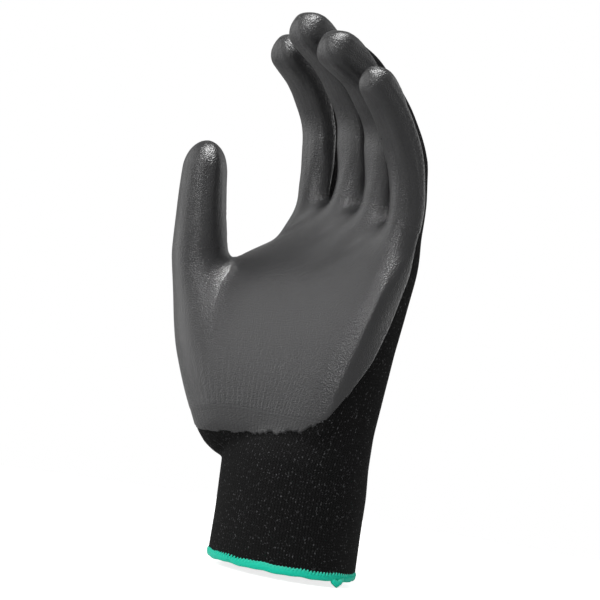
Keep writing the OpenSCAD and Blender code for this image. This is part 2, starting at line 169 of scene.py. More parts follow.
def band(marks: tuple[float, float, float, float], value: np.ndarray) -> np.ndarray:
    """Rises smoothly between the first two marks and falls again between the last two."""
    return smoothstep(marks[0], marks[1], value) * (1 - smoothstep(marks[2], marks[3], value))


def heading(angle: float) -> Vector:
    """Gives the way a bone points that leans towards the palm's side by an angle in radians."""
    return Vector((0, -math.sin(angle), math.cos(angle)))


def toward(azimuth: float, elevation: float) -> Vector:
    """Gives the way from the glove to a place round it, by two angles in degrees."""
    turn, rise = math.radians(azimuth), math.radians(elevation)
    return Vector((math.sin(turn) * math.cos(rise), -math.cos(turn) * math.cos(rise), math.sin(rise)))


def read(
    items: bpy.types.bpy_prop_collection, name: str, width: int = 1, kind: type = np.float32,
) -> np.ndarray:
    """Reads one property of all of a mesh's items.

    Args:
        items: The points, corners, faces or values.
        name: The property.
        width: How many numbers an item has.
        kind: Their type.
    Returns:
        One number or one row an item.
    """
    flat = np.empty(len(items) * width, kind)
    items.foreach_get(name, flat)
    return flat.reshape(-1, width) if width > 1 else flat


def coordinates(mesh: bpy.types.Mesh) -> np.ndarray:
    """Reads a mesh's points, one row a point, in millimetres."""
    return read(mesh.vertices, "co", 3).astype(float) / MM


def finished(name: str, bm: bmesh.types.BMesh) -> bpy.types.Object:
    """Turns a bmesh into an object at the origin.

    Args:
        name: The piece's name.
        bm: Its shape, which is freed.
    Returns:
        The object, linked to the scene.
    """
    mesh = bpy.data.meshes.new(name)
    bm.to_mesh(mesh)
    bm.free()
    made = bpy.data.objects.new(name, mesh)
    bpy.context.scene.collection.objects.link(made)
    return made


def apply_modifiers(piece: bpy.types.Object) -> None:
    """Makes a piece's modifiers part of its mesh.

    Args:
        piece: The object.
    """
    graph = bpy.context.evaluated_depsgraph_get()
    mesh = bpy.data.meshes.new_from_object(piece.evaluated_get(graph))
    piece.modifiers.clear()
    piece.data = mesh


def sweep(
    bm: bmesh.types.BMesh, path: list[Vector], radii: list[float], segments: int,
    closed: bool = False, power: float = 2.0,
) -> None:
    """Draws a tube along a path, from one ring that is extruded and turned.

    Args:
        bm: The bmesh to draw in.
        path: The centres of the rings.
        radii: The rings' radii.
        segments: Corners of each ring.
        closed: Whether the last ring joins the first.
        power: How square the ring is, from 2 for a round one.
    """
    count = len(path)
    frames: list[Matrix] = []
    side = Vector((1, 0, 0))
    for k, centre in enumerate(path):
        before = path[(k - 1) % count] if closed or k > 0 else path[0]
        after = path[(k + 1) % count] if closed or k < count - 1 else path[-1]
        along = (after - before).normalized()
        side = (side - along * side.dot(along)).normalized()
        turn = Matrix((side, along.cross(side), along)).transposed().to_4x4()
        frames.append(Matrix.Translation(centre) @ turn @ Matrix.Diagonal((radii[k], radii[k], 1, 1)))
    ring = bmesh.ops.create_circle(bm, cap_ends=False, segments=segments, radius=1)["verts"]
    for vert in ring:
        vert.co /= (abs(vert.co.x) ** power + abs(vert.co.y) ** power) ** (1 / power)
    bmesh.ops.transform(bm, matrix=frames[0], verts=ring)
    first = list({edge for vert in ring for edge in vert.link_edges})
    edges = first
    for before, after in zip(frames, frames[1:]):
        grown = bmesh.ops.extrude_edge_only(bm, edges=edges)["geom"]
        verts = [item for item in grown if isinstance(item, bmesh.types.BMVert)]
        fresh = set(verts)
        edges = [item for item in grown if isinstance(item, bmesh.types.BMEdge)]
        edges = [edge for edge in edges if fresh.issuperset(edge.verts)]
        bmesh.ops.transform(bm, matrix=after @ before.inverted(), verts=verts)
    if closed:
        bmesh.ops.bridge_loops(bm, edges=edges + first)
    else:
        bmesh.ops.contextual_create(bm, geom=edges)
        bmesh.ops.contextual_create(bm, geom=first)


@dataclass
class Stall:
    """One stall: its joints come from the frame, its girth from the fields, in millimetres."""

    digit: Digit
    root_r: float
    tip_r: float
    halves: tuple[float, ...]
    dorsal_x: float = 0.0
    coat_edges: tuple[float, ...] = (-0.12, 0.05, 0.45, 1.3)
    wales: int = 44
    slim: float = 0.7
    power: float = 4.0
    sway: tuple[float, float] = (0.0, 0.0)
    arch: tuple[float, float] = (0.0, 0.0)
    bow: float = 0.0
    dome: float = 1.0
    lean: float = -6.3
    inset: float = 14.0
    sunk: float = 0.7
    dome_step: float = 10.6
    dome_rings: int = 8
    coat_marks: tuple[float, ...] = (0.0, 0.45, 0.72, 0.92)
    bodies: list[str] = field(init=False)
    pivots: list[Vector] = field(init=False)
    base: Vector = field(init=False)
    end: Vector = field(init=False)
    path: list[Vector] = field(init=False)
    radii: list[float] = field(init=False)
    arcs: np.ndarray = field(init=False)

    def __post_init__(self) -> None:
        """Reads the joints and lays the centre line."""
        names = ("root", "tip") if self.digit is Digit.THUMB else ("root", "mid", "tip")
        self.bodies = ["hand"] + [f"{self.digit.value}_{name}" for name in names]
        self.pivots = [Vector(JOINTS[f"{body}_flex"]["pos_m"]) / MM for body in self.bodies[1:]]
        low, high = (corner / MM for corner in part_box(f"{self.digit.value}_tip_stall"))
        self.end = Vector((self.pivots[0].x, low.y + self.tip_r, high.z - self.tip_r * self.dome))
        if self.digit is Digit.THUMB:
            self.end.y = (low.y + high.y) / 2
        self.base = self.pivots[0] - heading(math.radians(self.lean)) * self.halves[0]
        self.lay_path()

    def lay_path(self) -> None:
        """Samples the centre line, rounded at the joints, with a domed end."""
        corners = [self.base] + self.pivots + [self.end]
        count = len(corners) - 1
        girth = [self.root_r + (self.tip_r - self.root_r) * k / (count - 1) for k in range(count)]
        girth = [self.root_r] + girth
        inside = corners[0] - (corners[1] - corners[0]).normalized() * self.inset
        marks: list[tuple[Vector, float]] = [
            (inside.lerp(corners[0], t), self.root_r * (self.sunk + (1 - self.sunk) * t)) for t in np.linspace(0, 1, 8)
        ]
        for k, half in enumerate(self.halves, 1):
            into = (corners[k] - corners[k - 1]).normalized()
            out = (corners[k + 1] - corners[k]).normalized()
            start, stop = corners[k] - into * half, corners[k] + out * half
            grow = (girth[k] - girth[k - 1]) / (corners[k] - corners[k - 1]).length
            swell = (girth[k + 1] if k + 1 < len(girth) else self.tip_r) - girth[k]
            fade = swell / (corners[k + 1] - corners[k]).length
            for t in np.linspace(0.05, 1, 9):
                point = start * (1 - t) ** 2 + corners[k] * 2 * t * (1 - t) + stop * t * t
                size = girth[k] - grow * half * (1 - t) ** 2 + fade * half * t * t
                marks.append((point, size))
        last = (corners[-1] - corners[-2]).normalized()
        reach, size = marks[-1]
        marks += [(reach.lerp(self.end, t), size + (self.tip_r - size) * t) for t in np.linspace(0.15, 1, 6)]
        for k in range(1, self.dome_rings + 1):
            angle = math.radians(self.dome_step * k)
            top = self.end + last * self.tip_r * self.dome * math.sin(angle)
            marks.append((top, self.tip_r * math.cos(angle)))
        self.path = [point for point, _ in marks]
        self.radii = [radius - self.slim for _, radius in marks]
        steps = [(b - a).length for a, b in zip(self.path, self.path[1:])]
        self.arcs = np.concatenate([[0], np.cumsum(steps)]) - self.inset
        share = smoothstep(0, 1, self.arcs / self.arcs[-1])
        for point, t in zip(self.path, share):
            point.x += self.sway[0] * (1 - t) + self.sway[1] * t + self.bow * 4 * t * (1 - t)
            point.y += self.arch[0] * (1 - t) + self.arch[1] * t

    @property
    def root_x(self) -> float:
        """Where the stall leaves the palm, across the hand."""
        return self.base.x + self.sway[0]

    def cuts(self) -> list[tuple[Vector, Vector]]:
        """Gives the planes that part the stall's lengths from the palm and from each other.

        Returns:
            A point and a normal a plane.
        """
        planes = [(self.base, (self.pivots[0] - self.base).normalized())]
        for k in range(1, len(self.pivots)):
            along = (self.pivots[k] - self.pivots[k - 1]).normalized()
            start = self.pivots[k - 1] + along * self.halves[k - 1]
            stop = self.pivots[k] - along * self.halves[k]
            planes.append((start.lerp(stop, 0.5), along))
        return planes

    def bend(self, k: int) -> tuple[Vector, Vector]:
        """Gives where the bend at a joint starts and ends.

        Args:
            k: The joint's number, from the palm.
        Returns:
            Two points, in metres.
        """
        corners = [self.base] + self.pivots + [self.end]
        into = (corners[k + 1] - corners[k]).normalized()
        out = (corners[k + 2] - corners[k + 1]).normalized()
        pivot = corners[k + 1]
        return (pivot - into * self.halves[k]) * MM, (pivot + out * self.halves[k]) * MM

    def gap(self, points: np.ndarray) -> np.ndarray:
        """Measures how far points lie from the centre line.

        Args:
            points: One row a point, in millimetres.
        Returns:
            Millimetres.
        """
        path = np.array(self.path[::2] + self.path[-1:])
        best = np.full(len(points), 1e9)
        for start, way in zip(path, path[1:] - path[:-1]):
            size = max(np.linalg.norm(way), 1e-6)
            rest = points - start
            t = np.clip(rest @ (way / size), 0, size)
            best = np.minimum(best, np.linalg.norm(rest - t[:, None] * (way / size), axis=1))
        return best

    def locate(self, points: np.ndarray) -> tuple[np.ndarray, np.ndarray, np.ndarray, np.ndarray]:
        """Finds where points lie on the stall.

        Args:
            points: One row a point, in millimetres.
        Returns:
            Length along the stall, turn round it from 0 to 1, height towards the hand's back, and girth.
        """
        path = np.array(self.path)
        ways = path[1:] - path[:-1]
        long = np.linalg.norm(ways, axis=1)
        best = np.full(len(points), 1e9)
        along, rise, aside, girth = (np.zeros(len(points)) for _ in range(4))
        for k, (start, way, size) in enumerate(zip(path[:-1], ways, long)):
            unit = way / size
            rest = points - start
            t = np.clip(rest @ unit, 0, size)
            gap = np.linalg.norm(rest - t[:, None] * unit, axis=1)
            near = gap < best
            best[near] = gap[near]
            along[near] = (self.arcs[k] + t)[near]
            dorsal = np.array([self.dorsal_x, -unit[1] * unit[0] + unit[2], -unit[1]])
            dorsal /= np.linalg.norm(dorsal)
            across = np.cross(dorsal, unit)
            rise[near] = (rest @ dorsal)[near]
            aside[near] = (rest @ across)[near]
            girth[near] = np.interp(along[near], self.arcs, self.radii)
        return along, np.arctan2(aside, -rise) / TAU + 0.5, rise, girth


@dataclass
class Body:
    """The cuff and palm of the form: outlines by height, in millimetres."""

    heights: tuple[float, ...] = (-8, 0, 20, 34, 46, 60, 100, 120, 138, 150)
    half_w: tuple[float, ...] = (34.2, 34.15, 34.0, 34.9, 35.4, 36.0, 38.6, 39.8, 40.5, 40.5)
    thumb_w: tuple[float, ...] = (34.2, 34.15, 34.0, 34.9, 35.4, 36.0, 38.6, 39.7, 39.2, 36.0)
    front: tuple[float, ...] = (26.5, 26.44, 26.2, 26.2, 25.8, 22.4, 17, 14.0, 10.6, 7.2)
    back: tuple[float, ...] = (26.5, 26.44, 25.8, 25, 21.8, 17.8, 13.2, 12.2, 10.4, 7.2)
    middle: tuple[float, ...] = (0, 0, 0, 0, 0.11, 1.66, 6.07, 8.28, 10.27, 11.6)
    drops: tuple[tuple[float, float], ...] = ((-10, 0), (11.9, 2), (32.9, 8))
    edge_z: tuple[float, ...] = (50, 52, 58, 65, 75, 90, 105, 126, 152)
    edge_y: tuple[float, ...] = (-29, -26, -19, -14, -8.5, -0.5, 4.5, 10.0, 13.0)
    wales: int = 150
    top: float = 149.0
    sink_z: float = 100.0
    squareness: tuple[tuple[float, float], ...] = ((34, 2.1), (100, 2.6))
    wrist_z: float = 50.4
    wrist_steps: tuple[tuple[float, float, float], ...] = ((-16, 2, 2.4), (2, 24, 4.5))

    def at(self, outline: tuple[float, ...], z: np.ndarray) -> np.ndarray:
        """Reads an outline at some heights."""
        return np.interp(z, self.heights, outline)

    def place(self, turn: np.ndarray, z: np.ndarray, grow: float = 0) -> np.ndarray:
        """Gives points on the outline.

        Args:
            turn: Angles round the outline, in radians.
            z: Their heights.
            grow: How far outside the outline they lie.
        Returns:
            One row a point.
        """
        power = 2 / np.interp(z, *zip(*self.squareness))
        cosine, sine = np.cos(turn), np.sin(turn)
        depth = np.where(sine < 0, self.at(self.front, z), self.at(self.back, z))
        width = np.where(cosine < 0, self.at(self.thumb_w, z), self.at(self.half_w, z))
        x = (width + grow) * np.sign(cosine) * np.abs(cosine) ** power
        y = self.at(self.middle, z) + (depth + grow) * np.sign(sine) * np.abs(sine) ** power
        sink = np.interp(x, *zip(*self.drops)) * np.interp(z, (self.sink_z, self.top), (0, 1))
        return np.stack([x, y, z - sink], axis=1)

    def draw(self, bm: bmesh.types.BMesh, segments: int = 64) -> None:
        """Draws the cuff and palm as a cylinder that takes the outlines' shape.

        Args:
            bm: The bmesh to draw in.
            segments: Corners of each ring.
        """
        levels = np.linspace(self.heights[0], self.top, 48)
        path = [Vector((0, 0, z)) for z in levels]
        before = set(bm.verts)
        sweep(bm, path, [1.0] * len(path), segments)
        made = [vert for vert in bm.verts if vert not in before]
        flat = np.array([vert.co for vert in made])
        for vert, point in zip(made, self.place(np.arctan2(flat[:, 1], flat[:, 0]), flat[:, 2])):
            vert.co = point

    def locate(self, points: np.ndarray) -> tuple[np.ndarray, np.ndarray]:
        """Finds where points lie on the cuff and palm.

        Args:
            points: One row a point, in millimetres.
        Returns:
            Height, and turn round the axis from 0 to 1.
        """
        x, y, z = points.T
        rise = (y - self.at(self.middle, z)) / self.at(self.front, z)
        return z, np.arctan2(rise, x / self.at(self.half_w, z)) / TAU + 0.5


@dataclass
class Form:
    """The hand that the liner takes its shape from, drawn whole and then cut at the knuckles."""

    body: Body
    stalls: list[Stall]
    voxel: float = 0.85
    swell: float = 0.45
    thenar_low: tuple[float, float, float] = (-27.3, -10.0, 60.2)
    thenar_high: tuple[float, float, float] = (-51.15, -21.0, 105.95)
    thenar_bulge: tuple[float, float, float] = (-2.0, -1.0, 0.0)
    thenar_r: tuple[float, float] = (20.3, 13.6)
    ridge_r: float = 5.0
    flank_r: float = 8.0
    ridge: tuple[tuple[float, float, float], ...] = (
        (27.5, -13.0, 61.0), (31.0, -11.4, 75.0), (33.5, -8.7, 89.0), (35.5, -6.0, 100.0),
        (36.3, -4.2, 107.0), (36.5, 3.6, 128.0), (34.0, 8.0, 137.0),
    )
    thenar_steps: tuple[float, ...] = (0, 0.3, 0.6, 0.85, 1)
    face_inset: tuple[float, float, float] = (12.0, 10.0, 0.0)
    face_start: float = 0.3
    face_slim: float = 1.3
    face_corner: tuple[float, float, float] = (-27.9, -0.1, 125.0)
    index_corner: tuple[float, float, float] = (-31.3, 10.7, 142.0)
    index_r: float = 7.0
    web_r: float = 9.0
    web_start: float = 0.9
    web_sag: float = -2.5
    web_points: tuple[tuple[float, float, float], ...] = ((-34.2, 4.8, 125.0), (-28.2, 1.2, 92.0))
    furrow_deep: float = 3.6
    furrow_long: float = 30.0
    furrow_w: float = 3.4
    furrow_slant: float = 0.8
    furrow_top: float = 4.0
    foot_w: float = 7.0
    foot_fall: tuple[float, float, float, float] = (-12.0, -4.0, 8.0, 18.0)
    reach: float = 1.5
    root_below: float = 16.0
    root_aside: float = 24.0
    cut_near: float = 3.0
    bare: float = -2.6
    crease: float = 0.14
    crease_power: float = 2.2
    valley_r: float = 6.5
    valleys: tuple[tuple[float, float], ...] = ((-16.0, 4.5), (-7.0, 6.0), (0.0, 8.5), (6.0, 13.0))
    palm_z: float = 57.0
    hem_z: float = 1.2
    thumb_back: tuple[float, float, float] = (-0.5, 0.87, 0.0)
    thumb_side: float = -25.0
    faintest: float = 0.01
    joining: tuple[tuple[str, int], ...] = (("", 10),)
    rounding: tuple[tuple[str, int], ...] = (
        ("web", 50), ("thumb", 220), ("flank", 150), ("palm", 500), ("root", 350), ("back", 220),
    )
    settling: tuple[tuple[str, int], ...] = (("pit", 240), ("root", 40), ("web", 40))

    @property
    def thumb(self) -> Stall:
        """The thumb's stall."""
        return next(stall for stall in self.stalls if stall.digit is Digit.THUMB)

    @property
    def fingers(self) -> list[Stall]:
        """The other stalls, from the index finger's to the little finger's."""
        return [stall for stall in self.stalls if stall.digit is not Digit.THUMB]

    def thenar(self, t: float) -> Vector:
        """Gives a place on the middle line of the ball of the thumb, from 0 at the wrist to 1 at the thumb."""
        line = Vector(self.thenar_low).lerp(Vector(self.thenar_high), t)
        return line + Vector(self.thenar_bulge) * math.sin(math.pi * t)

    def hull(self, bm: bmesh.types.BMesh, balls: list[tuple[Vector, float]]) -> None:
        """Adds the tight skin round a few balls to the form.

        Args:
            bm: The bmesh to draw in.
            balls: Each ball's centre and radius.
        """
        part = bmesh.new()
        for centre, radius in balls:
            bmesh.ops.create_icosphere(part, subdivisions=3, radius=radius, matrix=Matrix.Translation(centre))
        bmesh.ops.delete(part, geom=list(part.edges), context="EDGES_FACES")
        inner = bmesh.ops.convex_hull(part, input=list(part.verts))["geom_interior"]
        inner = [item for item in inner if isinstance(item, bmesh.types.BMVert)]
        bmesh.ops.delete(part, geom=inner, context="VERTS")
        mesh = bpy.data.meshes.new("hull")
        part.to_mesh(mesh)
        part.free()
        bm.from_mesh(mesh)
        bpy.data.meshes.remove(mesh)

    def thenar_size(self, t: float) -> float:
        """Gives the radius of the ball of the thumb at a place on its middle line."""
        return self.thenar_r[0] * (1 - t) + self.thenar_r[1] * t + math.sin(math.pi * t)

    def face_ball(self, t: float) -> tuple[Vector, float]:
        """Gives the centre and radius of a ball behind the flat of the palm, beside the ball of the thumb."""
        inset = max(0.0, (t - self.face_start) / (1 - self.face_start))
        return self.thenar(t) + Vector(self.face_inset) * inset, self.thenar_size(t) - self.face_slim * inset

    def valley(self, near: Stall, far: Stall, along: float, deep: float) -> tuple[Vector, float]:
        """Gives a ball in the web between two fingers.

        Args:
            near: A finger.
            far: The finger beside it.
            along: How far up the fingers the ball lies.
            deep: How far it lies behind the fingers' faces.
        Returns:
            Its centre and radius.
        """
        spots = [
            Vector([np.interp(along, stall.arcs, line) for line in zip(*stall.path)]) for stall in (near, far)
        ]
        girth = (near.root_r + far.root_r) / 2
        radius = min(self.valley_r, girth - (deep + 1) / 2)
        return spots[0].lerp(spots[1], 0.5) - Vector((0, girth - radius - deep, 0)), radius

    def flank_ball(self, z: float) -> tuple[Vector, float]:
        """Gives the centre and radius of a ball just inside the little finger's side of the palm."""
        width, middle = (float(self.body.at(line, z)) for line in (self.body.half_w, self.body.middle))
        return Vector((width - self.flank_r, middle + 1, z)), self.flank_r

    def build(self) -> bmesh.types.BMesh:
        """Draws the form and joins it into one skin.

        Returns:
            The skin, cut at the knuckles' planes, in metres.
        """
        bm = bmesh.new()
        self.body.draw(bm)
        for stall in self.stalls:
            sweep(bm, stall.path, stall.radii, 40, power=stall.power)
        self.draw_palm(bm)
        self.draw_webs(bm)
        bmesh.ops.recalc_face_normals(bm, faces=bm.faces)
        bmesh.ops.scale(bm, vec=(MM, MM, MM), verts=bm.verts)
        skin = finished("form", bm)
        remesh = skin.modifiers.new("union", "REMESH")
        remesh.mode = "VOXEL"
        remesh.voxel_size = self.voxel * MM
        self.smooth(skin, self.joining)
        apply_modifiers(skin)
        self.soften_webs(skin)
        bm = bmesh.new()
        bm.from_mesh(skin.data)
        bpy.data.objects.remove(skin)
        self.cut(bm)
        return bm

    def draw_palm(self, bm: bmesh.types.BMesh) -> None:
        """Draws the ball of the thumb, the flat of the palm and the ridge on the little finger's side.

        Args:
            bm: The bmesh to draw in.
        """
        heel = [(self.thenar(t), self.thenar_size(t)) for t in self.thenar_steps]
        for near, far in zip(heel, heel[1:]):
            self.hull(bm, [near, far])
        face = [self.face_ball(t) for t in self.thenar_steps]
        face += [(Vector(self.face_corner), self.web_r), (Vector(self.index_corner), self.index_r)]
        ridge = [(Vector(point), self.ridge_r) for point in self.ridge]
        flank = [self.flank_ball(centre.z) for centre, _ in ridge]
        for k in range(len(face) - 1):
            self.hull(bm, face[k:k + 2] + ridge[k:k + 2])
            self.hull(bm, ridge[k:k + 2] + flank[k:k + 2])
        self.hull(bm, [heel[-1], (self.thumb.base, self.thumb.root_r)])
        # Between the ball of the thumb and the palm lies a soft crease, deeper towards the thumb.
        for k in range(1, len(heel) - 1):
            sides = heel[k:k + 2] + face[k:k + 2]
            self.hull(bm, [(centre, radius - self.crease * k ** self.crease_power) for centre, radius in sides])

    def draw_webs(self, bm: bmesh.types.BMesh) -> None:
        """Draws the webs between the fingers, the pads at their roots and the web of the thumb.

        Args:
            bm: The bmesh to draw in.
        """
        for near, far in zip(self.fingers, self.fingers[1:]):
            self.hull(bm, [self.valley(near, far, along, deep) for along, deep in self.valleys])
        for finger in self.fingers:
            pad = ((-12, 0.5 - finger.arch[0]), (18, 1.5))
            self.hull(bm, [self.valley(finger, finger, along, deep) for along, deep in pad])
        corner, low = (Vector(point) for point in self.web_points)
        start = self.thenar(self.web_start)
        middle = start.lerp(corner, 0.5) - Vector((1, 0, self.web_sag))
        for near, far in ((start, middle), (middle, corner)):
            self.hull(bm, [(near, self.web_r), (far, self.web_r), (low, self.web_r)])

    def mark(self, skin: bpy.types.Object, name: str, weights: np.ndarray) -> None:
        """Marks part of the skin as a vertex group.

        Args:
            skin: The joined skin.
            name: The mark's name.
            weights: How far each point belongs to it, from 0 to 1.
        """
        group = skin.vertex_groups.new(name=name)
        for k in np.nonzero(weights > self.faintest)[0]:
            group.add([int(k)], float(weights[k]), "REPLACE")

    def smooth(self, skin: bpy.types.Object, rounds: tuple[tuple[str, int], ...]) -> None:
        """Smooths marked parts of the skin.

        Args:
            skin: The joined skin.
            rounds: Each mark, or an empty name for all of the skin, and how often it is smoothed.
        """
        for name, count in rounds:
            step = skin.modifiers.new("smooth", "SMOOTH")
            step.vertex_group, step.factor, step.iterations = name, 0.5, count

    def soften_webs(self, skin: bpy.types.Object) -> None:
        """Rounds the hollows at the webs and swells the skin out to the liner's face.

        Args:
            skin: The joined skin.
        """
        x, _, z = coordinates(skin.data).T
        normals = read(skin.data.vertex_normals, "vector", 3)
        facing = -normals[:, 1]
        weights = {
            "web": band((122, 138, 150, 158), z),
            "thumb": band((-22, -30, -44, -52), x) * band((70, 92, 120, 132), z),
            "flank": smoothstep(0.72, 0.92, normals[:, 0]) * band((52, 66, 136, 152), z),
            "palm": smoothstep(0.45, 0.85, facing) * band((52, 66, 132, 156), z),
            "root": smoothstep(0.0, 0.5, facing) * band((118, 136, 156, 176), z) * smoothstep(-36, -26, x),
            "back": smoothstep(0.1, -0.4, facing) * band((126, 142, 156, 174), z),
        }
        for name, shares in weights.items():
            self.mark(skin, name, shares)
        self.smooth(skin, self.rounding)
        swell = skin.modifiers.new("swell", "DISPLACE")
        swell.strength = self.swell * MM
        swell.mid_level = 0
        apply_modifiers(skin)
        self.mark(skin, "pit", self.furrow(skin.data))
        self.smooth(skin, self.settling)
        apply_modifiers(skin)

    def furrow(self, mesh: bpy.types.Mesh) -> np.ndarray:
        """Draws the valleys between the fingers on into the palm, slanting towards the thumb as they fade.

        Args:
            mesh: The skin's mesh.
        Returns:
            How near each point lies to the pit at a valley's foot, from 0 to 1.
        """
        points = coordinates(mesh)
        front = -read(mesh.vertex_normals, "vector", 3)[:, 1]
        facing, seen = smoothstep(0.1, 0.5, front), smoothstep(-0.5, 0, front)
        pits = np.zeros(len(points))
        for left, right in zip(self.fingers, self.fingers[1:]):
            top = (left.base.z + right.base.z) / 2 + self.furrow_top
            middle = (left.root_x + left.root_r + right.root_x - right.root_r) / 2
            fall = top - points[:, 2]
            aside = points[:, 0] - middle + self.furrow_slant * np.maximum(fall - self.furrow_top, 0)
            fade = band((-5, 8, 10, self.furrow_long), fall)
            points[:, 1] += self.furrow_deep * np.exp(-(aside / self.furrow_w) ** 2) * fade * facing
            foot = np.exp(-(aside / self.foot_w) ** 2) * band(self.foot_fall, fall)
            pits = np.maximum(pits, foot * seen)
        mesh.vertices.foreach_set("co", (points * MM).astype(np.float32).ravel())
        mesh.update()
        return pits

    def cut(self, bm: bmesh.types.BMesh) -> None:
        """Cuts the skin at the hem and at the knuckles' planes.

        Args:
            bm: The skin.
        """
        for z, clear in ((self.hem_z, True), (self.palm_z, False)):
            geometry = list(bm.verts) + list(bm.edges) + list(bm.faces)
            level = {"plane_co": (0, 0, z * MM), "plane_no": (0, 0, 1), "clear_inner": clear}
            bmesh.ops.bisect_plane(bm, geom=geometry, **level)
        faces = list(bm.faces)
        centres = np.array([face.calc_center_median() for face in faces]) / MM
        planes = []
        which = self.nearest(centres)
        for number, stall in enumerate(self.stalls, 1):
            held = which == number
            for point, normal in stall.cuts():
                rest = centres - np.array(point)
                near = held & (np.abs(rest @ np.array(normal)) < self.cut_near)
                planes.append((point, normal, [faces[k] for k in np.nonzero(near)[0]]))
        for point, normal, near in planes:
            edges = {edge for face in near for edge in face.edges}
            verts = {vert for face in near for vert in face.verts}
            bmesh.ops.bisect_plane(bm, geom=[*verts, *edges, *near], plane_co=point * MM, plane_no=normal)

    def nearest(self, points: np.ndarray) -> np.ndarray:
        """Says which stall points lie on.

        Args:
            points: One row a point, in millimetres.
        Returns:
            The stall's number from 1, or 0 away from all of them.
        """
        best = np.full(len(points), 1e9)
        which = np.zeros(len(points), int)
        for k, stall in enumerate(self.stalls, 1):
            below, aside = stall.base.z - points[:, 2], np.abs(points[:, 0] - stall.root_x)
            near = np.nonzero((below < self.root_below) & (aside < self.root_aside))[0]
            gap = stall.gap(points[near])
            won = (gap < best[near]) & (gap < self.reach * stall.root_r)
            best[near[won]] = gap[won]
            which[near[won]] = k
        return which

    def zones(self, points: np.ndarray) -> np.ndarray:
        """Says which length of the glove points belong to.

        Args:
            points: One row a point, in millimetres.
        Returns:
            0 for the cuff, 1 for the palm, else 10 for each stall plus the length's number from 1.
        """
        zone = np.where(points[:, 2] > self.palm_z, 1, 0)
        which = self.nearest(points)
        for k, stall in enumerate(self.stalls, 1):
            held = which == k
            for step, (point, normal) in enumerate(stall.cuts(), 1):
                held &= (points - np.array(point)) @ np.array(normal) > 0
                zone[held] = 10 * k + step
        return zone

    def cover(self, points: np.ndarray) -> np.ndarray:
        """Measures how far inside the rubber's edge points lie.

        Args:
            points: One row a point, in millimetres.
        Returns:
            Millimetres, below 0 on bare knit.
        """
        x, y, z = points.T
        inside = np.interp(z, self.body.edge_z, self.body.edge_y) - y
        wrist = np.full(len(points), self.body.wrist_z)
        for low, high, rise in self.body.wrist_steps:
            wrist += rise * smoothstep(low, high, x)
        inside = np.minimum(inside, z - wrist)
        thumb = self.thumb
        heights = (self.thenar_low[2], self.thenar_high[2], thumb.base.z)
        line = zip(self.thenar_low[:2], self.thenar_high[:2], thumb.base)
        axis = np.stack([np.interp(z, heights, places) for places in line] + [z], axis=1)
        # The edge runs on from the ball of the thumb to the thumb's own edge, and opens over the web.
        limit = np.interp(z, (60, 126), (7, thumb.coat_edges[0] * thumb.root_r))
        limit += np.interp(z, (96, 136), (0, 3)) * np.maximum(x + 46, 0)
        near = x < self.thumb_side
        inside[near] = np.minimum(inside, limit - (points - axis) @ np.array(self.thumb_back))[near]
        zone = self.zones(points)
        for k, stall in enumerate(self.stalls, 1):
            held = zone // 10 == k
            if held.any():
                along, _, rise, girth = stall.locate(points[held])
                marks = np.array(stall.coat_marks) * stall.arcs[-1]
                girth = np.maximum(girth, stall.tip_r - stall.slim)
                inside[held] = np.interp(along, marks, stall.coat_edges) * girth - rise
        return inside


@dataclass(frozen=True)
class KnitFinish:
    """Black nylon yarn, weft knitted on a fine flat-bed machine: matt, with paler fibre ends on it."""

    name: str = "black_nylon_knit"
    yarn: str = "#131313"
    # Painted shade: the yarn's colour down in the grooves between the stitches.
    groove_shade: str = "#020202"
    fleck: str = "#606062"
    course_mm: float = 1.15
    depth_mm: float = 0.35

    def make(self) -> bpy.types.Material:
        """Draws the stitches on the piece's knit map, one unit a wale and one a millimetre of length, with painted
        shade in the grooves between them.

        Returns:
            The material.
        """
        material, tree, shader = blank(self.name)
        wales = add(tree, "UVMap", uv_map="knit")
        parts = add(tree, "SeparateXYZ", {0: wales}).node.outputs
        across = add(tree, "Math", {0: parts[0]}, operation="FRACT")
        leg = add(tree, "Math", {0: across, 1: 0.5}, operation="SUBTRACT")
        leg = add(tree, "Math", {0: leg}, operation="ABSOLUTE")
        course = add(tree, "Math", {0: parts[1], 1: 1 / self.course_mm}, operation="MULTIPLY")
        slant = add(tree, "Math", {0: leg, 1: 1.3, 2: course}, operation="MULTIPLY_ADD")
        loop = add(tree, "Math", {0: slant, 1: TAU}, operation="MULTIPLY")
        loop = add(tree, "Math", {0: loop}, operation="SINE")
        ridge = add(tree, "Math", {0: leg, 1: TAU}, operation="MULTIPLY")
        ridge = add(tree, "Math", {0: ridge}, operation="SINE")
        crown = add(tree, "MapRange", {0: leg, 1: 0.5, 2: 0.2, 3: 0.0, 4: 0.6})
        ridge = add(tree, "Math", {0: ridge, 1: 0.4, 2: crown}, operation="MULTIPLY_ADD")
        height = add(tree, "Math", {0: loop, 1: 0.22, 2: ridge}, operation="MULTIPLY_ADD")
        place = add(tree, "TexCoord", out="Object")
        # Fibre ends lie a little closer than the stitches do.
        ends = add(tree, "TexNoise", {"Vector": place, "Scale": 1 / (0.9 * MM), "Detail": 2.0})
        ends = add(tree, "MapRange", {0: ends, 1: 0.6, 2: 0.76})
        lit = add(tree, "MapRange", {0: height, 1: 0.1, 2: 1.1})
        ends = add(tree, "Math", {0: ends, 1: lit}, operation="MULTIPLY")
        # The yarn is painted darker where it sinks between the stitches: painted shade in the grooves, besides the
        # bump.
        colour = add(tree, "Mix", {0: lit, 6: linear(self.groove_shade), 7: linear(self.yarn)}, **RGBA)
        colour = add(tree, "Mix", {0: ends, 6: colour, 7: linear(self.fleck)}, **RGBA)
        bump = add(tree, "Bump", {"Height": height, "Strength": 0.7, "Distance": self.depth_mm * MM})
        plug(shader, {"Base Color": colour, "Normal": bump, "Roughness": 0.85, "Specular IOR Level": 0.1})
        return material


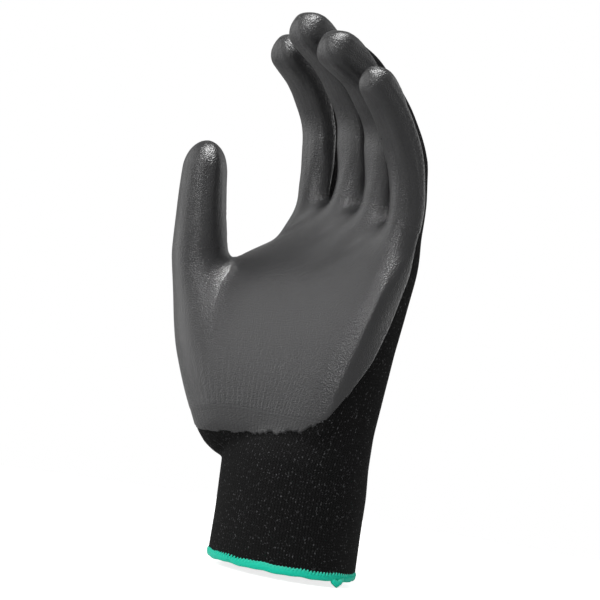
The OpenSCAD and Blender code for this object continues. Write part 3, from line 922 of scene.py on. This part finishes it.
@dataclass(frozen=True)
class DipFinish:
    """Sandy nitrile rubber foam, dipped and cured: satin, finely pitted, with the knit faint beneath it."""

    name: str = "grey_nitrile_foam"
    first: str = "#262627"
    second: str = "#2c2c2d"
    pit_mm: float = 0.6
    pit_depth_mm: float = 0.26
    flute_depth_mm: float = 0.5
    # Painted highlight along the second dip's edge.
    edge_highlight: str = "#383839"

    def make(self) -> bpy.types.Material:
        """Draws the two dips, their pits, the wales that show through and a painted highlight along the second dip's
        edge.

        Returns:
            The material.
        """
        material, tree, shader = blank(self.name)
        place = add(tree, "TexCoord", out="Object")
        second = add(tree, "Attribute", attribute_name="second_dip", out="Fac")
        cloud = add(tree, "TexNoise", {"Vector": place, "Scale": 1 / (14 * MM), "Detail": 3.0})
        cloud = add(tree, "MapRange", {0: cloud, 1: 0.3, 2: 0.7, 3: -0.25, 4: 0.25})
        wales = add(tree, "UVMap", uv_map="knit")
        drawn = add(tree, "VectorMath", {0: wales, 1: (0.3, 0.02, 0.0)}, operation="MULTIPLY")
        flutes = add(tree, "TexNoise", {"Vector": drawn, "Scale": 1.0, "Detail": 1.0})
        stalls = add(tree, "Attribute", attribute_name="stall", out="Fac")
        lines = add(tree, "Math", {0: flutes, 1: stalls}, operation="MULTIPLY")
        streak = add(tree, "MapRange", {0: lines, 1: 0.3, 2: 0.7, 3: 0.0, 4: -1.8})
        tone = add(tree, "Math", {0: second, 1: cloud}, operation="ADD")
        tone = add(tree, "Math", {0: tone, 1: streak}, operation="ADD", use_clamp=True)
        colour = add(tree, "Mix", {0: tone, 6: linear(self.first), 7: linear(self.second)}, **RGBA)
        # A lighter line is painted along the second dip's edge, half way through the mark: a painted highlight where
        # the rubber steps up.
        highlight_line = add(tree, "Math", {0: second, 1: 0.5}, operation="SUBTRACT")
        highlight_line = add(tree, "Math", {0: highlight_line}, operation="ABSOLUTE")
        highlight_line = add(tree, "MapRange", {0: highlight_line, 1: 0.1, 2: 0.45, 3: 0.8, 4: 0.0})
        colour = add(tree, "Mix", {0: highlight_line, 6: colour, 7: linear(self.edge_highlight)}, **RGBA)
        pits = add(tree, "TexNoise", {"Vector": place, "Scale": 1 / (self.pit_mm * MM), "Detail": 2.0})
        flutes = add(tree, "Bump", {"Height": lines, "Strength": 1.0, "Distance": self.flute_depth_mm * MM})
        wale = add(tree, "SeparateXYZ", {0: wales})
        ridge = add(tree, "Math", {0: wale, 1: TAU}, operation="MULTIPLY")
        ridge = add(tree, "Math", {0: ridge}, operation="SINE")
        # The knit prints through the rubber low on the palm and fades out towards the fingers.
        height = add(tree, "SeparateXYZ", {0: place}, out=2)
        faint = add(tree, "MapRange", {0: height, 1: 52 * MM, 2: 104 * MM, 3: 0.11, 4: 0.0})
        ridge = add(tree, "Math", {0: ridge, 1: faint}, operation="MULTIPLY")
        height = add(tree, "Math", {0: pits, 1: ridge}, operation="ADD")
        pitted = {"Height": height, "Strength": 1.0, "Distance": self.pit_depth_mm * MM, "Normal": flutes}
        bump = add(tree, "Bump", pitted)
        rough = add(tree, "MapRange", {0: second, 3: 0.38, 4: 0.27})
        rough = add(tree, "Math", {0: lines, 1: 0.15, 2: rough}, operation="MULTIPLY_ADD")
        plug(shader, {"Base Color": colour, "Normal": bump, "Roughness": rough, "IOR": 1.52})
        return material


@dataclass(frozen=True)
class ThreadFinish:
    """Textured polyester sewing thread: a soft sheen, with a fine twist across it."""

    name: str
    colour: str
    shade: str
    twist_mm: float = 0.35

    def make(self) -> bpy.types.Material:
        """Draws the thread's colour and twist.

        Returns:
            The material.
        """
        material, tree, shader = blank(self.name)
        place = add(tree, "TexCoord", out="Object")
        fibre = add(tree, "TexNoise", {"Vector": place, "Scale": 1 / (self.twist_mm * MM), "Detail": 1.0})
        colour = add(tree, "Mix", {0: fibre, 6: linear(self.shade), 7: linear(self.colour)}, **RGBA)
        bump = add(tree, "Bump", {"Height": fibre, "Strength": 0.4, "Distance": 0.1 * MM})
        plug(shader, {"Base Color": colour, "Normal": bump, "Roughness": 0.6})
        plug(shader, {"Sheen Weight": 0.05, "Specular IOR Level": 0.3})
        return material


@dataclass
class Hand:
    """The liner and its rubber, cut at the knuckles into lengths."""

    form: Form
    knit: KnitFinish
    dip: DipFinish
    wall: float = 1.2
    coat: float = 0.55
    coat_wall: float = 0.5
    sink: float = -0.4
    second_z: float = 62.9
    second_lift: float = 0.16
    edge_w: float = 1.6
    drawn_in: float = 16.0
    sharp: float = 48.0
    outer: float = 0.6
    materials: dict[Layer, bpy.types.Material] = field(init=False)

    def build(self) -> None:
        """Makes every length of both layers."""
        skin = self.form.build()
        LOG.info("form: %d faces", len(skin.faces))
        self.materials = {Layer.LINER: self.knit.make(), Layer.COAT: self.dip.make()}
        coat = self.coat_skin(skin)
        for layer, source in ((Layer.LINER, skin), (Layer.COAT, coat)):
            source.normal_update()
            whole = source.verts.layers.float_vector.new("whole")
            for vert in source.verts:
                vert[whole] = vert.normal
            source.faces.ensure_lookup_table()
            centres = np.array([face.calc_center_median() for face in source.faces]) / MM
            zones = self.form.zones(centres)
            if layer is Layer.COAT:
                zones[zones == 0] = 1
            for zone in sorted(set(zones), key=lambda z: -np.count_nonzero(zones == z)):
                self.length(layer, source, zones, zone)
                source.faces.ensure_lookup_table()
                done = [source.faces[k] for k in np.nonzero(zones == zone)[0]]
                bmesh.ops.delete(source, geom=done, context="FACES")
                zones = zones[zones != zone]
            source.free()

    def coat_skin(self, skin: bmesh.types.BMesh) -> bmesh.types.BMesh:
        """Lays the rubber on the skin.

        Args:
            skin: The liner's face.
        Returns:
            The rubber's face, lifted off the liner and sunk under it past the rubber's edge.
        """
        coat = skin.copy()
        coat.verts.ensure_lookup_table()
        coat.faces.ensure_lookup_table()
        inside = self.form.cover(np.array([vert.co for vert in coat.verts]) / MM)
        bare = [face for face in coat.faces if all(inside[vert.index] < self.form.bare for vert in face.verts)]
        bmesh.ops.delete(coat, geom=bare, context="FACES")
        coat.verts.index_update()
        inside = self.form.cover(np.array([vert.co for vert in coat.verts]) / MM)
        edge = [e for e in coat.edges if all(abs(inside[vert.index]) < self.edge_w for vert in e.verts)]
        bmesh.ops.subdivide_edges(coat, edges=edge, cuts=2, use_grid_fill=True)
        coat.normal_update()
        coat.verts.index_update()
        points = np.array([vert.co for vert in coat.verts]) / MM
        inside = self.form.cover(points) + self.ragged(points)
        lift = np.clip(inside * 0.9, self.sink, self.coat)
        lift += self.second_lift * smoothstep(-0.4, 0.4, self.second(points)) * (inside > 1)
        normals = [vert.normal.copy() for vert in coat.verts]
        for vert, normal, rise in zip(coat.verts, normals, lift):
            vert.co += normal * float(rise) * MM
        return coat

    def ragged(self, points: np.ndarray) -> np.ndarray:
        """Makes the rubber's edge follow the stitches.

        Args:
            points: One row a point, in millimetres.
        Returns:
            What to add to the cover, in millimetres.
        """
        height, turn = self.form.body.locate(points)
        wale = np.floor(turn * self.form.body.wales)
        # A fixed scramble of the wale's number gives each wale a reach of its own.
        step = np.sin(wale * 12.9898) * 43758.5453
        step = step - np.floor(step)
        wave = np.sin(turn * 61) + np.sin(turn * 143 + 2)
        return ((step - 0.5) * 1.5 + 0.35 * wave) * (1 - smoothstep(60, 90, height))

    def second(self, points: np.ndarray) -> np.ndarray:
        """Measures how far above the second dip's edge points lie, in millimetres."""
        return points[:, 2] - self.second_z + 4.6 * smoothstep(-12, -42, points[:, 0])

    def length(self, layer: Layer, source: bmesh.types.BMesh, zones: np.ndarray, zone: int) -> None:
        """Makes one length of one layer as a piece with its wall and maps; the palm's pieces are attached to the hand.

        Args:
            layer: Liner or rubber.
            source: The whole layer.
            zones: Each face's length.
            zone: The length to make.
        """
        bm = source.copy()
        bm.faces.ensure_lookup_table()
        bmesh.ops.delete(bm, geom=[bm.faces[k] for k in np.nonzero(zones != zone)[0]], context="FACES")
        stall = self.form.stalls[zone // 10 - 1] if zone > 9 else None
        step = zone % 10 - 1
        part = stall.bodies[step + 1] if stall else ("cuff", "palm")[zone]
        name = f"{layer.value}_{part}"
        piece = finished(name, bm)
        wall = piece.modifiers.new("wall", "SOLIDIFY")
        wall.thickness = (self.wall if layer is Layer.LINER else self.coat_wall) * MM
        wall.offset = -1
        apply_modifiers(piece)
        piece.data.shade_smooth()
        piece.data.set_sharp_from_angle(angle=math.radians(self.sharp))
        self.keep_shading(piece.data)
        self.map_knit(piece, stall)
        piece.data.materials.clear()
        piece.data.materials.append(self.materials[layer])
        self.move(piece, layer, stall, step)
        LOG.info("%s: %d faces", piece.name, len(piece.data.polygons))

    def keep_shading(self, mesh: bpy.types.Mesh) -> None:
        """Shades a length's outer face as part of the whole layer, so that no line shows at a cut.

        Args:
            mesh: The length's mesh, with the whole layer's normals as an attribute.
        """
        corners = read(mesh.loops, "vertex_index", kind=np.int32)
        sides = read(mesh.polygons, "loop_total", kind=np.int32)
        shade = read(mesh.corner_normals, "vector", 3)
        whole = read(mesh.attributes["whole"].data, "vector", 3)[corners]
        flat = np.repeat(read(mesh.polygon_normals, "vector", 3), sides, axis=0)
        outer = (flat * whole).sum(axis=1) > self.outer
        shade[outer] = whole[outer]
        mesh.attributes.remove(mesh.attributes["whole"])
        mesh.normals_split_custom_set(shade.tolist())

    def map_knit(self, piece: bpy.types.Object, stall: Stall | None) -> None:
        """Lays the knit's map on a piece and marks where the second dip lies.

        Args:
            piece: The piece.
            stall: Its stall, or None on the cuff and palm.
        """
        mesh = piece.data
        points = coordinates(mesh)
        if stall is None:
            along, turn = self.form.body.locate(points)
            wales = self.form.body.wales
            second = smoothstep(-0.6, 0.6, self.second(points))
            drawn = np.zeros(len(points))
        else:
            along, turn = stall.locate(points)[:2]
            wales = stall.wales
            second = np.ones(len(points))
            drawn = smoothstep(0, self.drawn_in, along)
        corners = read(mesh.loops, "vertex_index", kind=np.int32)
        starts = read(mesh.polygons, "loop_start", kind=np.int32)
        counts = np.diff(np.append(starts, len(corners)))
        # A face that spans the seam of the turn takes its low corners one turn further.
        turn = turn[corners]
        span = np.maximum.reduceat(turn, starts) - np.minimum.reduceat(turn, starts)
        wraps = np.repeat(span > 0.5, counts)
        turn = np.where(wraps & (turn < 0.5), turn + 1, turn)
        knit = np.stack([turn * wales, along[corners]], 1)
        mesh.uv_layers.new(name="knit").data.foreach_set("uv", knit.astype(np.float32).ravel())
        for name, values in (("second_dip", second), ("stall", drawn)):
            mark = mesh.attributes.new(name, "FLOAT", "POINT")
            mark.data.foreach_set("value", values.astype(np.float32))

    def move(self, piece: bpy.types.Object, layer: Layer, stall: Stall | None, step: int) -> None:
        """Attaches the palm's pieces to the hand, and hides the CAD nodes that each piece stands for.

        Args:
            piece: The piece.
            layer: Its layer.
            stall: Its stall, or None on the cuff and palm.
            step: The length's number on the stall.
        """
        liner = layer is Layer.LINER
        if stall is None and liner and step < 0:
            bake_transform(piece)
            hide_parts("cuff_rib", "wrist_rib")
        elif stall is None and liner:
            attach(piece, "hand")
            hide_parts("palm_liner")
        elif stall is None:
            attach(piece, "hand")
            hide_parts("palm_dip", "palm_top_dip")
        else:
            start, end = stall.bend(step)
            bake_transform(piece)
            body = stall.bodies[step + 1]
            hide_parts(*([f"{body}_knuckle", f"{body}_stall"] if liner else [f"{body}_dip"]))


@dataclass
class Hem:
    """The overlocked hem: a core of thread and the loops that wrap the cuff's edge, with the end left over."""

    body: Body
    thread: ThreadFinish
    height: float = 3.8
    depth: float = 3.0
    loops: int = 122
    thread_d: float = 1.1
    stitch_z: float = 2.6
    stitch_h: float = 1.9
    sway: float = 0.16
    inset: float = 0.65
    pressed: float = 0.8
    loop_reach: float = 0.36
    loop_steps: int = 14
    tail_turn: float = 6.0
    tail_path: tuple[tuple[float, float, float], ...] = (
        (0.6, 2.6, 1.4), (0.7, 1.3, 0.2), (0.6, 0, -0.9), (0.4, -1.3, 0), (0.2, -2.6, 1.4),
    )
    tail_r: tuple[float, ...] = (0.9, 1.35, 1.5, 1.35, 0.9)
    tail_z: float = 2.4

    def build(self) -> None:
        """Makes the core, the loops and the tail."""
        material = self.thread.make()
        parts = (
            ("hem_core", self.core(), ""),
            ("hem_loops", self.stitches(), "hem_binding"),
            ("hem_end", self.tail(), "hem_tail"),
        )
        for name, bm, node in parts:
            bmesh.ops.recalc_face_normals(bm, faces=bm.faces)
            piece = finished(name, bm)
            piece.data.shade_smooth()
            piece.data.materials.append(material)
            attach(piece, "cuff")
            if node:
                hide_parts(node)
            LOG.info("%s: %d faces", name, len(piece.data.polygons))

    def spot(self, turn: float, z: float, grow: float = 0) -> np.ndarray:
        """Gives a point on the hem's middle line, or grown out from it."""
        return self.body.place(np.array([turn]), np.array([z]), grow - self.inset)[0]

    def core(self) -> bmesh.types.BMesh:
        """Draws the core, a thick ring pressed to the hem's depth.

        Returns:
            The core.
        """
        core = bmesh.new()
        turns = np.linspace(0, TAU, 240, endpoint=False)
        ring = self.body.place(turns, np.full(len(turns), self.height / 2), -self.inset)
        ring[:, 2] += self.waver(turns)
        sweep(core, [Vector(p) * MM for p in ring], [self.height / 2 * MM] * len(ring), 20, closed=True)
        for vert in core.verts:
            self.flatten(vert)
        return core

    def stitches(self) -> bmesh.types.BMesh:
        """Draws the thread that loops round the core, as one closed coil.

        Returns:
            The loops.
        """
        loops = bmesh.new()
        count = self.loops * self.loop_steps
        path = []
        for k in range(count):
            turn, wrap = TAU * k / count, TAU * k / self.loop_steps
            point = self.spot(turn, self.height / 2, math.cos(wrap) * self.depth * self.loop_reach)
            lift = self.stitch_z + math.sin(wrap) * self.stitch_h / 2 + float(self.waver(np.array([turn]))[0])
            path.append(Vector((point[0], point[1], lift)) * MM)
        sweep(loops, path, [self.thread_d / 2 * MM] * count, 6, closed=True)
        return loops

    def tail(self) -> bmesh.types.BMesh:
        """Draws the end of the thread that is left over.

        Returns:
            The end.
        """
        tail = bmesh.new()
        root = Vector(self.spot(math.radians(self.tail_turn), self.tail_z)) + Vector((0, 0, -self.tail_z))
        path = [(root + Vector(step)) * MM for step in self.tail_path]
        sweep(tail, path, [size * MM for size in self.tail_r], 12)
        return tail

    def waver(self, turns: np.ndarray) -> np.ndarray:
        """Gives how far up the hem strays from a level line at some angles, in millimetres."""
        return self.sway * (np.sin(11 * turns + 1) + 0.6 * np.sin(23 * turns))

    def flatten(self, vert: bmesh.types.BMVert) -> None:
        """Presses the core's round section to the hem's depth.

        Args:
            vert: A point of the core.
        """
        turn = math.atan2(vert.co.y, vert.co.x)
        flat = Vector((vert.co.x, vert.co.y, 0))
        mid = self.spot(turn, self.height / 2)
        scale = math.hypot(mid[0], mid[1]) * MM / max(flat.length, 1e-6)
        keep = self.depth * self.pressed / self.height
        flat = flat * scale * (1 - keep) + flat * keep
        vert.co = Vector((flat.x, flat.y, vert.co.z))


@dataclass(frozen=True)
class Lamp:
    """A soft box: degrees from the camera's place, metres to the glove and across the box, and watts."""

    name: str
    aside: float
    above: float
    away: float
    width: float
    height: float
    power: float
    diffuse: bool = True
    glossy: bool = True
    aim: tuple[float, float, float] = (0, 0, 0.12)

    def build(self, azimuth: float) -> None:
        """Hangs the lamp, facing the glove.

        Args:
            azimuth: The camera's own angle, in degrees.
        """
        data = bpy.data.lights.new(self.name, "AREA")
        data.shape, data.size, data.size_y, data.energy = "RECTANGLE", self.width, self.height, self.power
        lamp = bpy.data.objects.new(self.name, data)
        lamp.visible_diffuse, lamp.visible_glossy = self.diffuse, self.glossy
        way = toward(azimuth + self.aside, self.above)
        lamp.location = Vector(self.aim) + way * self.away
        lamp.rotation_euler = way.to_track_quat("Z", "Y").to_euler()
        bpy.context.scene.collection.objects.link(lamp)


@dataclass
class Studio:
    """The floor, the lights and the camera, placed by the photograph's own view."""

    azimuth: float = 52.0
    elevation: float = 0.7
    roll: float = 9.0
    distance: float = 1500.0
    mm_per_pixel: float = 0.41
    hem_pixel: tuple[float, float] = (281, 563)
    hem: tuple[float, float, float] = (0, 0, 2)
    picture: int = 600
    floor_r: float = 0.4
    floor_gap: float = 0.3
    glow: float = 0.8
    ambient: float = 0.14
    mirror: float = 0.4
    lamps: tuple[Lamp, ...] = (
        Lamp("key", -38, 24, 1.2, 0.06, 0.6, 6.3),
        Lamp("left", -104, 10, 1.2, 1.2, 1.4, 8.8),
        Lamp("right", 122, 10, 1.2, 0.6, 1.1, 4.0),
        Lamp("top", -8, 76, 1.0, 0.18, 0.18, 19.0, diffuse=False),
        Lamp("fill", 10, 24, 1.2, 1.0, 1.0, 4.5, glossy=False),
    )

    def axes(self) -> tuple[Vector, Vector, Vector]:
        """Gives the camera's directions.

        Returns:
            Right, up and back, with the roll taken in.
        """
        roll = math.radians(self.roll)
        back, right = toward(self.azimuth, self.elevation), toward(self.azimuth + 90, 0)
        up = back.cross(right)
        return right * math.cos(roll) + up * math.sin(roll), up * math.cos(roll) - right * math.sin(roll), back

    def build(self) -> None:
        """Sets up camera, lights, floor and white surroundings."""
        right, up, back = self.axes()
        aside, above = (offset - self.picture / 2 for offset in self.hem_pixel)
        target = Vector(self.hem) - right * aside * self.mm_per_pixel + up * above * self.mm_per_pixel
        camera = bpy.data.objects.new("camera", bpy.data.cameras.new("camera"))
        camera.data.lens = camera.data.sensor_width * self.distance / self.mm_per_pixel / self.picture
        camera.data.clip_start, camera.data.clip_end = 0.05, 20
        camera.matrix_world = Matrix((right, up, back)).transposed().to_4x4()
        camera.location = (target + back * self.distance) * MM
        bpy.context.scene.collection.objects.link(camera)
        bpy.context.scene.camera = camera
        for lamp in self.lamps:
            lamp.build(self.azimuth)
        self.floor()
        self.surroundings()
        bpy.context.scene.view_settings.view_transform = "Standard"

    def floor(self) -> None:
        """Lays a plain white floor under the hem."""
        bm = bmesh.new()
        bmesh.ops.create_circle(bm, cap_ends=True, segments=64, radius=self.floor_r)
        bmesh.ops.translate(bm, vec=(0, 0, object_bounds()[0].z - self.floor_gap * MM), verts=bm.verts)
        floor = finished("floor", bm)
        paper, tree, shader = blank("white_matt_paper")
        seen = add(tree, "LightPath", out="Is Camera Ray")
        glow = add(tree, "Math", {0: seen, 1: self.glow}, operation="MULTIPLY")
        plug(shader, {"Base Color": linear("#fafafa"), "Roughness": 0.9})
        plug(shader, {"Emission Color": linear("#ffffff"), "Emission Strength": glow})
        floor.data.materials.append(paper)
        floor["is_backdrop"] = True

    def surroundings(self) -> None:
        """Makes the world plain white to the camera and a soft light to the glove."""
        world = bpy.data.worlds.new("studio")
        world.use_nodes = True
        tree = world.node_tree
        tree.nodes.clear()
        rays = add(tree, "LightPath").node.outputs
        strength = add(tree, "MapRange", {0: rays["Is Camera Ray"], 3: self.ambient, 4: 1.0})
        mirrored = add(tree, "Math", {0: rays["Is Glossy Ray"], 1: self.mirror}, operation="MULTIPLY")
        strength = add(tree, "Math", {0: strength, 1: mirrored}, operation="MAXIMUM")
        sky = add(tree, "Background", {"Color": linear("#ffffff"), "Strength": strength})
        plug(tree.nodes.new("ShaderNodeOutputWorld"), {"Surface": sky})
        bpy.context.scene.world = world


def dress_elastic() -> None:
    """Gives the elastic yarn inside the cuff its own thread."""
    yarn = ThreadFinish("white_elastane_yarn", "#b9b7b0", "#8f8d86").make()
    node = frame["nodes"]["cuff_elastic"]
    node.data.materials.clear()
    node.data.materials.append(yarn)
    LOG.info("cuff_elastic: %d faces", len(node.data.polygons))


def main() -> None:
    """Builds the glove's looks round the frame."""
    logging.basicConfig(level=logging.INFO, format="%(name)s %(message)s")
    body = Body()
    stalls = [
        Stall(Digit.INDEX, 8.4, 8.0, (8.0, 8.5, 6.5), slim=1.3, sway=(3.8, -0.2), bow=-1.6),
        Stall(Digit.MIDDLE, 9.4, 8.1, (8.0, 8.5, 6.5), slim=1.3, sway=(3.0, 0.0), arch=(3.4, 0.6)),
        Stall(Digit.RING, 9.2, 8.2, (8.0, 8.5, 6.5), slim=1.3, sway=(1.2, 0.4), arch=(1.4, 0.6)),
        Stall(
            Digit.LITTLE, 8.7, 7.2, (8.0, 8.379, 6.5), coat_edges=(0.3, 0.5, 0.6, 1.3),
            slim=1.6, arch=(-0.6, -0.4),
        ),
        Stall(
            Digit.THUMB, 11.0, 8.91, (6.5, 6.5), dorsal_x=-0.57, coat_edges=(0.35, 0.35, 0.4, 1.25),
            slim=0.1, power=2.0, sway=(0.6, -1.8), dome=1.4, lean=7.0, inset=4.0,
        ),
    ]
    Hand(Form(body, stalls), KnitFinish(), DipFinish()).build()
    Hem(body, ThreadFinish("teal_polyester_thread", "#00d3b4", "#00bb9b")).build()
    dress_elastic()
    Studio().build()


if __name__ == "__main__":
    main()
